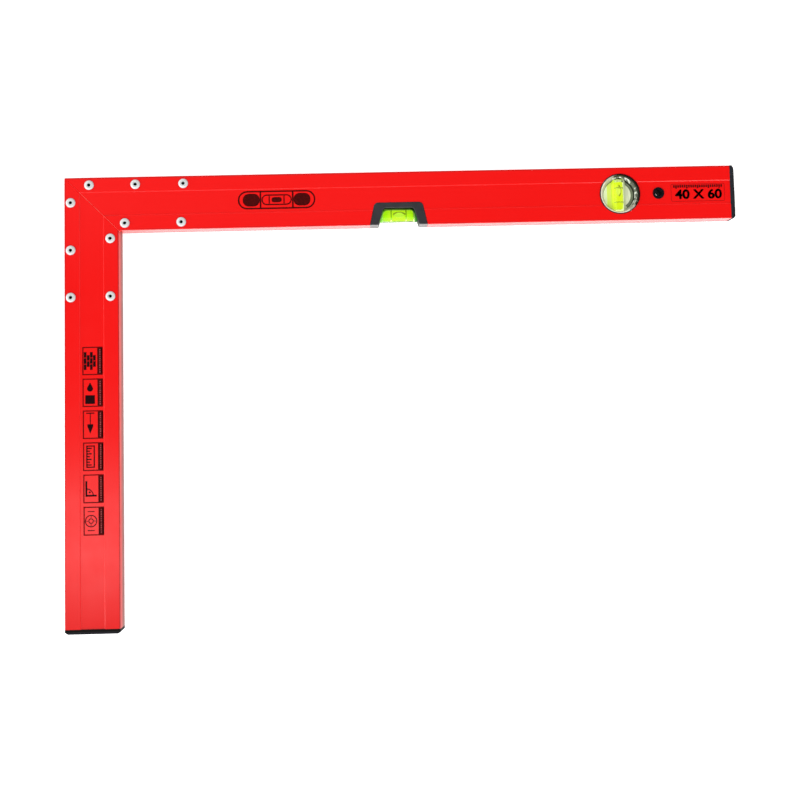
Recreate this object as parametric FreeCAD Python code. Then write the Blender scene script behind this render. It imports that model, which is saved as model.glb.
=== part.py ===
import FreeCAD, Part
import math
import os

from FreeCAD import Vector

# A bricklayer's square with two spirit vials, lying on its rear side.
# X runs along the long arm, -Y along the short arm and +Z out of the front.
# The origin is the outer corner, half way through the depth. Sizes are in millimetres.

# Overall sizes, end caps included
long_arm_length = 600.0
short_arm_length = 400.0
arm_width = 48.0
arm_depth = 20.0

# Aluminium box section with a sunken panel on its front and rear
wall = 1.6
corner_radius = 0.6
panel_edge = 13.2
panel_sink = 0.4
panel_slope = 0.5
mitre_gap = 0.1

# Flat corner plates inside the joint
plate_thickness = 2.5
plate_end = 11.0
plate_fit = 0.2
plate_lead_in = 4.0

# Blind rivets: the outer row is measured from the outer corner and edge of its arm,
# and the inner row from the inner corner and edge
long_outer_rivets = (22.0, 63.0, 105.5)
long_inner_rivets = (5.5, 55.5)
long_outer_row = 6.9
long_inner_row = 6.5
short_outer_rivets = (22.5, 65.0, 107.0)
short_inner_rivets = (7.0, 58.5)
short_outer_row = 5.7
short_inner_row = 7.4
rivet_head_radius = 4.3
rivet_head_height = 1.1
rivet_rim_height = 0.3
rivet_crown_radius = 2.3
rivet_shank_radius = 2.2
rivet_bulge_radius = 3.1
rivet_bulge_length = 2.6
rivet_fit = 0.05
mandrel_radius = 1.3
mandrel_head_radius = 2.1
mandrel_head_height = 1.2
mandrel_break_depth = 3.2
mandrel_fit = 0.03

# End caps
cap_flange = 4.4
cap_chamfer = 2.2
cap_plug_depth = 12.0
cap_plug_wall = 1.8
cap_fit = 0.15
cap_lead_in = 1.0
cap_ribs = 3
cap_rib_width = 1.4
cap_rib_crush = 0.1

# Holder of the level vial, an arch in a notch of the long arm's inner edge
notch_centre = 297.0
holder_base_width = 51.8
holder_top_width = 42.8
holder_height = 20.4
holder_corner = 4.2
holder_leg = 7.6
holder_bar = 5.0
window_top_width = 27.0
window_corner = 2.5
holder_chamfer = 0.5
holder_setback = 0.2
notch_fit = 0.1

# Level vial: its axis is this far from the inner edge, and its ends sit in pockets of the legs
level_vial_radius = 6.2
level_vial_wall = 2.7
level_vial_rise = 9.8
level_vial_pocket = 2.1
level_bubble_length = 11.0
level_bubble_offset = 0.5
level_line_spacing = 13.4

# Plumb vial, its web and its two-part housing, placed from the long arm's end
plumb_from_end = 104.0
plumb_vial_radius = 6.3
plumb_vial_wall = 3.3
plumb_bubble_length = 10.0
plumb_bubble_offset = 3.9
plumb_line_spacing = 13.0
web_thickness = 3.0
housing_radius = 18.0
housing_gap = 0.3
housing_lip = 0.5
housing_lip_edge = 0.5
housing_rim = 1.2
housing_skirt = 2.55
housing_shelf = 2.05
housing_end_wall = 1.9

# What both vials share
vial_end_wall = 2.8
vial_end_radius = 1.8
vial_fit = 0.05
bore_barrel = 0.25
bore_rounding = 1.6
bubble_share = 0.5
bubble_end_share = 0.3
bubble_rise = 0.25
bubble_rounding = 0.9
line_width = 0.7
line_thickness = 0.35
plug_margin = 0.8

# Hanging hole and its bush, placed from the long arm's end
hang_from_end = 69.3
bush_radius = 4.7
bush_lip = 0.5
bush_flange_thickness = 0.5
bush_flange_round = 0.2
bush_bore_radius = 3.0
bush_fit = 0.1

# Sizes that follow from those above
half_depth = arm_depth / 2
panel_level = half_depth - panel_sink
inside_level = half_depth - wall
arm_middle = arm_width / 2
holder_lean = (holder_base_width - holder_top_width) / 2 / holder_height
window_base_width = holder_base_width - 2 * holder_leg
window_height = holder_height - holder_bar
window_lean = (window_base_width - window_top_width) / 2 / window_height
level_window = window_base_width / 2 - window_lean * level_vial_rise
level_vial_length = 2 * (level_window + level_vial_pocket)
plumb_centre = long_arm_length - plumb_from_end
plumb_vial_length = 2 * (housing_radius - housing_end_wall)
web_seat_radius = housing_radius - housing_skirt
hang_centre = long_arm_length - hang_from_end
margin = 1.0
origin = Vector(0, 0, 0)


def block(x, y, z):
    """A box between two limits on each axis."""
    size = (x[1] - x[0], y[1] - y[0], z[1] - z[0])
    return Part.makeBox(*size, Vector(x[0], y[0], z[0]))


def prism(points, bottom, top):
    """A flat outline in X and Y, raised from one height to another."""
    ring = [Vector(x, y, bottom) for x, y in points]
    face = Part.Face(Part.makePolygon(ring + ring[:1]))
    return face.extrude(Vector(0, 0, top - bottom))


def turned(points, bends=None):
    """A profile of radius and height, turned about Z. A bend is the middle of a side, by its number."""
    ring = [Vector(radius, 0, height) for radius, height in points]
    sides = []
    for number, (start, end) in enumerate(zip(ring, ring[1:] + ring[:1])):
        if bends and number in bends:
            radius, height = bends[number]
            sides.append(Part.Arc(start, Vector(radius, 0, height), end).toShape())
        else:
            sides.append(Part.makeLine(start, end))
    face = Part.Face(Part.Wire(sides))
    return face.revolve(origin, Vector(0, 0, 1), 360)


def rod(radius, start, length, direction):
    """A round rod from a point along a direction."""
    return Part.makeCylinder(radius, length, Vector(*start), Vector(*direction))


def to_rear(shape):
    """The same piece on the rear side."""
    return shape.mirror(origin, Vector(0, 0, 1))


def to_short_arm(shape):
    """A piece of the long arm, mirrored over the mitre onto the short arm."""
    return shape.mirror(origin, Vector(1, 1, 0))


def edges_where(shape, test):
    """The edges whose ends both pass a test."""
    return [e for e in shape.Edges if all(test(v.Point) for v in e.Vertexes)]


def save(name, shape):
    """Writes one piece, or one group of like pieces, under its node's name."""
    shape.exportStep(os.path.join("parts", name + ".step"))


# Rivets

def rivet_places(outer_row, outer, inner_row, inner):
    """Each rivet's distance along its arm and across it, both from the outer corner."""
    outside = [(along, outer_row) for along in outer]
    inside = [(arm_width + along, arm_width - inner_row) for along in inner]
    return outside + inside


def rivet_sleeve():
    """A set blind rivet: domed head above the face, bulged tail behind the plate."""
    grip = wall + plate_thickness
    bore = mandrel_radius + mandrel_fit
    reach = rivet_head_radius - rivet_crown_radius
    drop = rivet_head_height - rivet_rim_height
    dome = (reach ** 2 + drop ** 2) / (2 * drop)
    half_way = math.asin(reach / dome) / 2
    dome_middle = (
        rivet_crown_radius + dome * math.sin(half_way),
        rivet_head_height - dome * (1 - math.cos(half_way)),
    )
    profile = [
        (bore, rivet_head_height - rivet_rim_height),
        (bore + rivet_rim_height, rivet_head_height),
        (rivet_crown_radius, rivet_head_height),
        (rivet_head_radius, rivet_rim_height),
        (rivet_head_radius, 0),
        (rivet_shank_radius, 0),
        (rivet_shank_radius, -grip),
        (rivet_bulge_radius, -grip),
        (rivet_bulge_radius, -grip - rivet_bulge_length / 2),
        (rivet_shank_radius, -grip - rivet_bulge_length),
        (bore, -grip - rivet_bulge_length),
    ]
    return turned(profile, {2: dome_middle})


def rivet_mandrel():
    """The broken stem left in the rivet, with its head against the tail."""
    tail = -(wall + plate_thickness + rivet_bulge_length)
    return turned([
        (0, -mandrel_break_depth + rivet_head_height),
        (mandrel_radius, -mandrel_break_depth + rivet_head_height),
        (mandrel_radius, tail),
        (mandrel_head_radius, tail),
        (mandrel_head_radius, tail - mandrel_head_height / 2),
        (mandrel_head_radius / 2, tail - mandrel_head_height),
        (0, tail - mandrel_head_height),
    ])


def on_front(piece, places):
    """One copy of a piece at each rivet's place on the front of the long arm."""
    copies = []
    for along, across in places:
        copy = piece.copy()
        copy.translate(Vector(along, -across, half_depth))
        copies.append(copy)
    return Part.makeCompound(copies)


def rivet_holes(places):
    """Drillings through both faces, as on the long arm."""
    radius = rivet_shank_radius + rivet_fit
    start = -half_depth - margin
    depth = arm_depth + 2 * margin
    return [rod(radius, (along, -across, start), depth, (0, 0, 1)) for along, across in places]


# Arms

def section_points():
    """The outside of the box section, as distance across and height."""
    near = panel_edge
    far = arm_width - panel_edge
    front = [
        (0, half_depth),
        (near, half_depth),
        (near + panel_slope, panel_level),
        (far - panel_slope, panel_level),
        (far, half_depth),
        (arm_width, half_depth),
    ]
    rear = [(across, -height) for across, height in reversed(front)]
    return front + rear


def arm(length, places):
    """A mitred box section along X, from the outer corner to its end cap."""
    ring = [Vector(0, -across, height) for across, height in section_points()]
    section = Part.Face(Part.makePolygon(ring + ring[:1]))
    end = length - cap_flange
    bar = section.extrude(Vector(end, 0, 0))

    def on_corner(point):
        at_side = min(abs(point.y), abs(point.y + arm_width)) < 0.01
        return at_side and abs(abs(point.z) - half_depth) < 0.01

    corners = [e for e in edges_where(bar, on_corner) if abs(e.tangentAt(e.FirstParameter).x) > 0.9]
    bar = bar.makeFillet(corner_radius, corners)
    hollow = block((-margin, end + margin), (wall - arm_width, -wall), (-inside_level, inside_level))
    shift = mitre_gap / math.sqrt(2)
    reach = arm_width + margin
    corner_cut = prism(
        [(shift - margin, margin), (shift + reach, -reach), (-2 * margin, -reach), (-2 * margin, margin)],
        -arm_depth,
        arm_depth,
    )
    return bar.cut([hollow, corner_cut] + rivet_holes(places))


def arch_block(half_width, lean, height, below, corner, half_thickness):
    """A block that narrows away from the inner edge, with its two far corners rounded."""
    low = -arm_width - below
    high = -arm_width + height
    wide = half_width + lean * below
    narrow = half_width - lean * height
    points = [
        (notch_centre - wide, low),
        (notch_centre + wide, low),
        (notch_centre + narrow, high),
        (notch_centre - narrow, high),
    ]
    solid = prism(points, -half_thickness, half_thickness)
    upright = [
        e for e in edges_where(solid, lambda point: abs(point.y - high) < 0.01)
        if abs(e.tangentAt(e.FirstParameter).z) > 0.9
    ]
    return solid.makeFillet(corner, upright)


def long_arm():
    """The long arm with the notch, the plumb vial's hole and the hanging hole."""
    steep = math.hypot(1, holder_lean)
    notch = arch_block(
        holder_base_width / 2 + notch_fit * steep,
        holder_lean,
        holder_height + notch_fit,
        margin,
        holder_corner + notch_fit,
        half_depth + margin,
    )
    depth = arm_depth + 2 * margin
    low = -half_depth - margin
    plumb_hole = rod(housing_radius + housing_gap, (plumb_centre, -arm_middle, low), depth, (0, 0, 1))
    hang_hole = rod(bush_radius + bush_fit, (hang_centre, -arm_middle, low), depth, (0, 0, 1))
    return arm(long_arm_length, long_places).cut([notch, plumb_hole, hang_hole])


def corner_plate():
    """The front L-shaped plate that lies against the inside of both arms."""
    outer = wall + plate_fit
    inner = arm_width - wall - plate_fit
    lead = plate_lead_in
    leg = max(along for along, across in long_places + short_places) + plate_end
    along_long = [
        (outer + lead, -outer),
        (leg - lead, -outer),
        (leg, -outer - lead),
        (leg, lead - inner),
        (leg - lead, -inner),
    ]
    along_short = [(-y, -x) for x, y in reversed(along_long)]
    points = along_long + [(inner, -inner)] + along_short
    plate = prism(points, inside_level - plate_thickness, inside_level)
    short_holes = [to_short_arm(hole) for hole in rivet_holes(short_places)]
    return plate.cut(rivet_holes(long_places) + short_holes)


def end_cap(length):
    """A cap with a chamfered flange and a hollow plug whose ribs press against the tube."""
    seat = length - cap_flange
    flange = block((seat, length), (-arm_width, 0), (-half_depth, half_depth))
    rim = edges_where(flange, lambda point: point.x > length - 0.01)
    flange = flange.makeChamfer(cap_chamfer, rim)
    edge = wall + cap_fit
    deep = seat - cap_plug_depth
    tall = half_depth - edge
    plug = block((deep, seat), (edge - arm_width, -edge), (-tall, tall))
    plug = plug.makeChamfer(cap_lead_in, edges_where(plug, lambda point: point.x < deep + 0.01))
    inner_edge = edge + cap_plug_wall
    inner_tall = tall - cap_plug_wall
    hollow = block((deep - margin, seat), (inner_edge - arm_width, -inner_edge), (-inner_tall, inner_tall))
    ribs = []
    for number in range(cap_ribs):
        middle = -arm_width * (number + 1) / (cap_ribs + 1)
        sides = (middle - cap_rib_width / 2, middle + cap_rib_width / 2)
        ribs.append(block((deep + cap_lead_in, seat), sides, (-tall - cap_rib_crush, tall + cap_rib_crush)))
    return flange.fuse([plug.cut(hollow)] + ribs).removeSplitter()


# Vials: made along X about the origin, with the bubble up, and the plug at the +X end

def barrel(length, middle, end, rounding):
    """A round solid along X, a little wider in its middle than at its rounded ends."""
    half = length / 2
    corners = [Vector(-half, 0, 0), Vector(-half, 0, -end), Vector(half, 0, -end), Vector(half, 0, 0)]
    side = Part.Arc(corners[1], Vector(0, 0, -middle), corners[2]).toShape()
    edges = [
        Part.makeLine(corners[3], corners[0]),
        Part.makeLine(corners[0], corners[1]),
        side,
        Part.makeLine(corners[2], corners[3]),
    ]
    solid = Part.Face(Part.Wire(edges)).revolve(origin, Vector(1, 0, 0), 360)
    return solid.makeFillet(rounding, [e for e in solid.Edges if len(e.Vertexes) == 1])


def bubble(length, offset, bore_radius):
    """The space the bubble leaves in the top of the liquid."""
    middle = bore_radius * bubble_share
    end = bore_radius * bubble_end_share
    space = barrel(length, middle, end, bubble_rounding * end)
    space.translate(Vector(offset, 0, bore_radius * (1 - bubble_rise)))
    return space


def vial_tube(radius, length):
    """The outside of a clear tube with rounded ends."""
    tube = rod(radius, (-length / 2, 0, 0), length, (1, 0, 0))
    rims = [e for e in tube.Edges if len(e.Vertexes) == 1]
    return tube.makeFillet(vial_end_radius, rims)


def line_ring(radius, place, thickness, width):
    """A ring about X that lies in the wall of the bore."""
    outer = rod(radius + thickness, (place - width / 2, 0, 0), width, (1, 0, 0))
    return outer.cut(rod(radius, (place - width, 0, 0), 2 * width, (1, 0, 0)))


def vial(outside, length, bore_radius, bubble_length, bubble_offset, line_spacing):
    """Body, liquid, pair of lines and plug of one vial."""
    bore_length = length - 2 * vial_end_wall
    places = (-line_spacing / 2, line_spacing / 2)
    bore_end = bore_radius - bore_barrel
    deep = line_thickness + vial_fit
    wide = line_width + 2 * vial_fit
    grooves = [line_ring(bore_end, place, deep + bore_barrel, wide) for place in places]
    bore = barrel(bore_length, bore_radius, bore_end, bore_rounding)
    plug_radius = bore_end + plug_margin
    seat = bore_length / 2 - bore_rounding
    mouth = rod(plug_radius, (seat, 0, 0), length, (1, 0, 0))
    body = outside.cut([bore, mouth] + grooves)
    liquid = barrel(bore_length - 2 * vial_fit, bore_radius - vial_fit, bore_end - vial_fit, bore_rounding)
    liquid = liquid.cut(bubble(bubble_length, bubble_offset, bore_radius))
    lines = [line_ring(bore_radius, place, line_thickness, line_width) for place in places]
    start = seat + vial_fit
    plug = rod(plug_radius - vial_fit, (start, 0, 0), length / 2 - vial_end_radius / 2 - start, (1, 0, 0))
    return {"body": body, "liquid": liquid, "lines": Part.makeCompound(lines), "plug": plug.cut(bore)}


def place_level(shape):
    """Moves a vial's piece to the holder."""
    moved = shape.copy()
    moved.translate(Vector(notch_centre, level_vial_rise - arm_width, 0))
    return moved


def place_plumb(shape):
    """Turns a piece upright and moves it to the plumb vial's place."""
    moved = shape.copy()
    moved.rotate(origin, Vector(0, 0, 1), 90)
    moved.translate(Vector(plumb_centre, -arm_middle, 0))
    return moved


def level_holder():
    """The arch that frames the vial, with a saddle and pockets for the tube."""
    outside = arch_block(
        holder_base_width / 2, holder_lean, holder_height, -holder_setback, holder_corner, half_depth
    )
    window = arch_block(
        window_base_width / 2, window_lean, window_height, margin, window_corner, half_depth + margin
    )
    arch = outside.cut(window)
    low = -arm_width + holder_setback
    faces = edges_where(arch, lambda point: abs(abs(point.z) - half_depth) < 0.01)
    ends = edges_where(arch, lambda point: abs(point.y - low) < 0.01)
    trimmed = [e for e in faces if not any(e.isSame(end) for end in ends)]
    arch = arch.makeChamfer(holder_chamfer, trimmed)
    seat = vial_tube(level_vial_radius + vial_fit, level_vial_length + 2 * vial_fit)
    return arch.cut(place_level(seat))


def plumb_outside():
    """The upright tube with its round web."""
    tube = vial_tube(plumb_vial_radius, plumb_vial_length)
    web = rod(web_seat_radius - vial_fit, (0, 0, -web_thickness / 2), web_thickness, (0, 0, 1))
    return tube.fuse(web)


def plumb_housing():
    """The front half of the round housing: a rim, a cone down to the web and a skirt round it."""
    throat = web_seat_radius - housing_shelf
    floor = web_thickness / 2 + vial_fit
    top = half_depth + housing_lip
    ring = turned([
        (web_seat_radius, 0),
        (housing_radius, 0),
        (housing_radius, top - housing_lip_edge),
        (housing_radius - housing_lip_edge, top),
        (housing_radius - housing_rim, top),
        (throat, floor),
        (web_seat_radius, floor),
    ])
    socket = vial_tube(plumb_vial_radius + vial_fit, plumb_vial_length + 2 * vial_fit)
    socket.rotate(origin, Vector(0, 0, 1), 90)
    ring = ring.cut(socket)
    ring.translate(Vector(plumb_centre, -arm_middle, 0))
    return ring


def hanging_bush():
    """A flanged bush through both faces."""
    low = -panel_level
    length = 2 * panel_level
    sleeve = rod(bush_radius, (0, 0, low), length, (0, 0, 1))
    flange = rod(bush_radius + bush_lip, (0, 0, panel_level), bush_flange_thickness, (0, 0, 1))
    top = panel_level + bush_flange_thickness
    rim = [e for e in flange.Edges if len(e.Vertexes) == 1 and e.Vertexes[0].Z > top - 0.01]
    flange = flange.makeFillet(bush_flange_round, rim)
    bore = rod(bush_bore_radius, (0, 0, low - margin), length + 3 * margin, (0, 0, 1))
    bush = sleeve.fuse(flange).cut(bore)
    bush.translate(Vector(hang_centre, -arm_middle, 0))
    return bush


long_places = rivet_places(long_outer_row, long_outer_rivets, long_inner_row, long_inner_rivets)
short_places = rivet_places(short_outer_row, short_outer_rivets, short_inner_row, short_inner_rivets)


def main():
    """Makes every piece and writes it."""
    os.makedirs("parts", exist_ok=True)
    save("long_arm", long_arm())
    save("short_arm", to_short_arm(arm(short_arm_length, short_places)))
    plate = corner_plate()
    save("corner_plate_front", plate)
    save("corner_plate_rear", to_rear(plate))
    save("long_arm_end_cap", end_cap(long_arm_length))
    save("short_arm_end_cap", to_short_arm(end_cap(short_arm_length)))
    for kind, piece in (("rivets", rivet_sleeve()), ("rivet_mandrels", rivet_mandrel())):
        on_long = on_front(piece, long_places)
        on_short = to_short_arm(on_front(piece, short_places))
        save("long_arm_front_" + kind, on_long)
        save("long_arm_rear_" + kind, to_rear(on_long))
        save("short_arm_front_" + kind, on_short)
        save("short_arm_rear_" + kind, to_rear(on_short))
    save("level_vial_holder", level_holder())
    level = vial(
        vial_tube(level_vial_radius, level_vial_length),
        level_vial_length,
        level_vial_radius - level_vial_wall,
        level_bubble_length,
        level_bubble_offset,
        level_line_spacing,
    )
    for name, shape in level.items():
        save("level_vial_" + name, place_level(shape))
    plumb = vial(
        plumb_outside(),
        plumb_vial_length,
        plumb_vial_radius - plumb_vial_wall,
        plumb_bubble_length,
        plumb_bubble_offset,
        plumb_line_spacing,
    )
    for name, shape in plumb.items():
        save("plumb_vial_" + name, place_plumb(shape))
    housing = plumb_housing()
    save("plumb_housing_front", housing)
    save("plumb_housing_rear", to_rear(housing))
    save("hanging_bush", hanging_bush())


main()
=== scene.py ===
import math

import bpy
from mathutils import Matrix, Vector


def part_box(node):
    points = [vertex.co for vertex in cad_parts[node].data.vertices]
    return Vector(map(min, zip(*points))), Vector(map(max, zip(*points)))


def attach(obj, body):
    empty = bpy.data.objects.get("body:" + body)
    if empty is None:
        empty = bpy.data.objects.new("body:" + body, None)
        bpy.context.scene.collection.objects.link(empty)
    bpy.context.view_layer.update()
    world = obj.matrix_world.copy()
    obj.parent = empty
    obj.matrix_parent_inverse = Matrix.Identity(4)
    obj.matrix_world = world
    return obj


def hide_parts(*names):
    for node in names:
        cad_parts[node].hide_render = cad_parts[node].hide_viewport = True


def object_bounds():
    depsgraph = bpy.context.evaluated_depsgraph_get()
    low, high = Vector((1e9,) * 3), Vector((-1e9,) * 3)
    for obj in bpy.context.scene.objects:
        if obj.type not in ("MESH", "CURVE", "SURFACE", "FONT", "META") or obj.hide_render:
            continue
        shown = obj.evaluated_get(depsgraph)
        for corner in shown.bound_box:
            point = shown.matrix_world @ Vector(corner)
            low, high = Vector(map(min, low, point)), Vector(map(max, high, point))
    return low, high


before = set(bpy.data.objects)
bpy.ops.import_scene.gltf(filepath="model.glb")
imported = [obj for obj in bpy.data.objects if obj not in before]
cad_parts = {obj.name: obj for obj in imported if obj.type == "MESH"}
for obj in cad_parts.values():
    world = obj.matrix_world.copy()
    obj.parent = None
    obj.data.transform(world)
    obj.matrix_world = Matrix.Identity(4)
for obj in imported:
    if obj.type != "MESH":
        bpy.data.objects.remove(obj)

# A bricklayer's square lies on its rear side on a pale floor and is seen from above.
# Everything is in metres: X runs along the long arm, -Y along the short arm, +Z out of the front.

cad_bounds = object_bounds()
mm = 0.001

# Sizes read from the pieces of the frame
arm_width = -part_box("long_arm")[0].y
front_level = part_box("long_arm")[1].z
long_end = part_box("long_arm_end_cap")[1].x
short_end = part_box("short_arm_end_cap")[0].y
rivet_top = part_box("long_arm_front_rivets")[1].z - front_level
rivet_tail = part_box("long_arm_front_rivets")[0].z - front_level
floor_level = cad_bounds[0][2]


def middle_of(node):
    """The middle of a node's box."""
    low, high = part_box(node)
    return (low + high) / 2


level_centre = middle_of("level_vial_body")
plumb_centre = middle_of("plumb_vial_body")
level_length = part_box("level_vial_body")[1].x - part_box("level_vial_body")[0].x
plumb_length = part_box("plumb_vial_body")[1].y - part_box("plumb_vial_body")[0].y
level_bore = 3.5 * mm
plumb_bore = 3.0 * mm

# The wall and the sunken panel, as they are in the frame
wall = 1.6 * mm
panel_edge = 13.2 * mm
panel_level = front_level - 0.4 * mm

# Rivets, as they are in the frame: distance along the arm and across it in millimetres
long_rivets = [(22.0, 6.9), (63.0, 6.9), (105.5, 6.9), (53.5, 41.5), (103.5, 41.5)]
short_rivets = [(22.5, 5.7), (65.0, 5.7), (107.0, 5.7), (55.0, 40.6), (106.5, 40.6)]
rivet_radius = 4.3 * mm
rivet_rim = 0.3 * mm
rivet_crown = 2.3 * mm
rivet_bore = 1.33 * mm
rivet_bore_edge = 0.3 * mm
rivet_shank = 2.2 * mm
rivet_bulge = 3.1 * mm
rivet_bulge_length = 2.6 * mm
mark_width = 0.26 * mm
mark_depth = 0.12 * mm

# Both vials, as they are in the frame
vial_radius = 6.3 * mm
vial_end_wall = 2.8 * mm
bore_barrel = 0.25 * mm
bore_rounding = 1.6 * mm
liquid_overlap = 0.03 * mm
level_bubble = (11.0 * mm, 0.5 * mm)
plumb_bubble = (10.0 * mm, 3.9 * mm)
bubble_rise = 0.75

# Prints lie a hair above the panel
print_lift = 0.02 * mm
print_thickness = 0.03 * mm

# White surroundings, dark overhead and brighter one way, and a lamp that glows in the short arm
floor_size = 8
room_light = 2.2
overhead_light = 0.12
overhead_angle = 28
overhead_blend = 20
bright_way = (-0.42, -0.56)
glow_place = (-0.29, -0.445, 1.5)
glow_aim = (0.03, -0.33, 0)
glow_size = 0.2
glow_power = 0.52

# The camera stands where the photograph was taken
camera_place = (0.26778, -0.22757, 1.17979)
camera_turn = (5.081, -1.279, -1.366)
camera_lens = 59.6
sensor_width = 36.0
camera_shift = (-0.0004, -0.1128)


# Small helpers for modelling

def deselect_all():
    """Leaves nothing selected, the pieces of the frame included."""
    bpy.ops.object.select_all(action="DESELECT")


def only(piece):
    """Makes one piece the selected and active one."""
    deselect_all()
    piece.select_set(True)
    bpy.context.view_layer.objects.active = piece


def open_edit(piece, kind):
    """Opens a piece for editing, with nothing selected in it."""
    only(piece)
    bpy.ops.object.mode_set(mode="EDIT")
    bpy.ops.mesh.select_mode(type=kind)
    bpy.ops.mesh.select_all(action="DESELECT")
    bpy.ops.object.mode_set(mode="OBJECT")


def close_edit():
    """Goes back to the whole piece."""
    bpy.ops.object.mode_set(mode="OBJECT")


def pick_faces(piece, test):
    """Selects the faces that pass a test and opens the piece for editing."""
    open_edit(piece, "FACE")
    for face in piece.data.polygons:
        face.select = test(face)
    bpy.ops.object.mode_set(mode="EDIT")


def pick_edges(piece, test):
    """Selects the edges whose two ends pass a test and opens the piece for editing."""
    open_edit(piece, "EDGE")
    points = piece.data.vertices
    for edge in piece.data.edges:
        edge.select = test(points[edge.vertices[0]].co, points[edge.vertices[1]].co)
    bpy.ops.object.mode_set(mode="EDIT")


def pick_points(piece, test):
    """Selects the points that pass a test and opens the piece for editing."""
    open_edit(piece, "VERT")
    for point in piece.data.vertices:
        point.select = test(point.co)
    bpy.ops.object.mode_set(mode="EDIT")


def extrude(x, y, z):
    """Extrudes what is selected."""
    bpy.ops.mesh.extrude_region_move(TRANSFORM_OT_translate={"value": (x, y, z)})


def settle(piece):
    """Puts a piece's place into its mesh, so that its object is at the origin, unturned."""
    only(piece)
    bpy.ops.object.transform_apply(location=True, rotation=True, scale=True)


def smooth(piece, angle):
    """Smooth shading, with edges sharper than the angle left crisp."""
    only(piece)
    bpy.ops.object.shade_smooth_by_angle(angle=math.radians(angle))


def copy_of(piece):
    """A copy with a mesh of its own."""
    twin = piece.copy()
    twin.data = piece.data.copy()
    bpy.context.scene.collection.objects.link(twin)
    return twin


def join(pieces):
    """Joins several pieces into the first."""
    deselect_all()
    for piece in pieces:
        piece.select_set(True)
    bpy.context.view_layer.objects.active = pieces[0]
    bpy.ops.object.join()
    return pieces[0]


def cut_away(piece, tool):
    """Cuts one solid out of another."""
    only(piece)
    cut = piece.modifiers.new("cut", "BOOLEAN")
    cut.operation = "DIFFERENCE"
    cut.object = tool
    bpy.ops.object.modifier_apply(modifier=cut.name)
    bpy.data.objects.remove(tool)


def finish_piece(piece, name, material, slot, *replaced):
    """Names a piece, gives it its finish and lets it ride on the square."""
    piece.name = name
    piece.data.name = name
    piece.data.materials.clear()
    piece.data.materials.append(material)
    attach(piece, "root")
    if replaced:
        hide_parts(*replaced)


# Small helpers for finishes

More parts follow.
